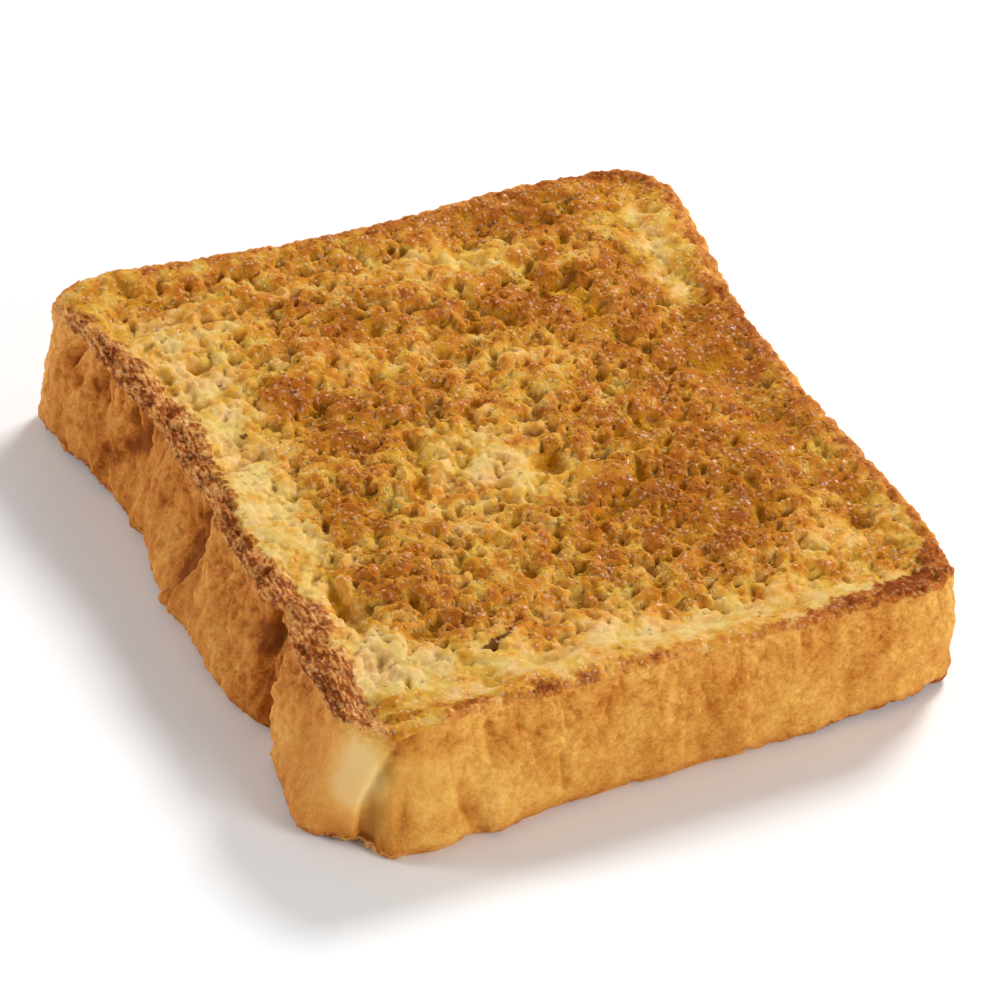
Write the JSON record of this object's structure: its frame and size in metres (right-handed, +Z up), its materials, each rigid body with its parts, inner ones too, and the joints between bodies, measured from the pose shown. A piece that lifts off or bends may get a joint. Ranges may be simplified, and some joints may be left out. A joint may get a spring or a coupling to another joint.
{
  "type": "french toast",
  "caption": "Thick slice of pan-loaf french toast: browned, cobbled egg-soaked face inside a low rim, over a folded golden crust wall.",
  "frame": {"origin": "centre of the part's footprint box, on the surface that the slice lies on", "axes": "+Z up out of the browned face, the slice's thickness; +Y towards the back crust, along the slice's longer side; -X towards the long side that has sagged into folds"},
  "size_m": [0.109, 0.133, 0.0231],
  "materials": {
    "fried_bread": null
  },
  "bodies": {
    "root": {"slice": "fried_bread"}
  },
  "joints": []
}
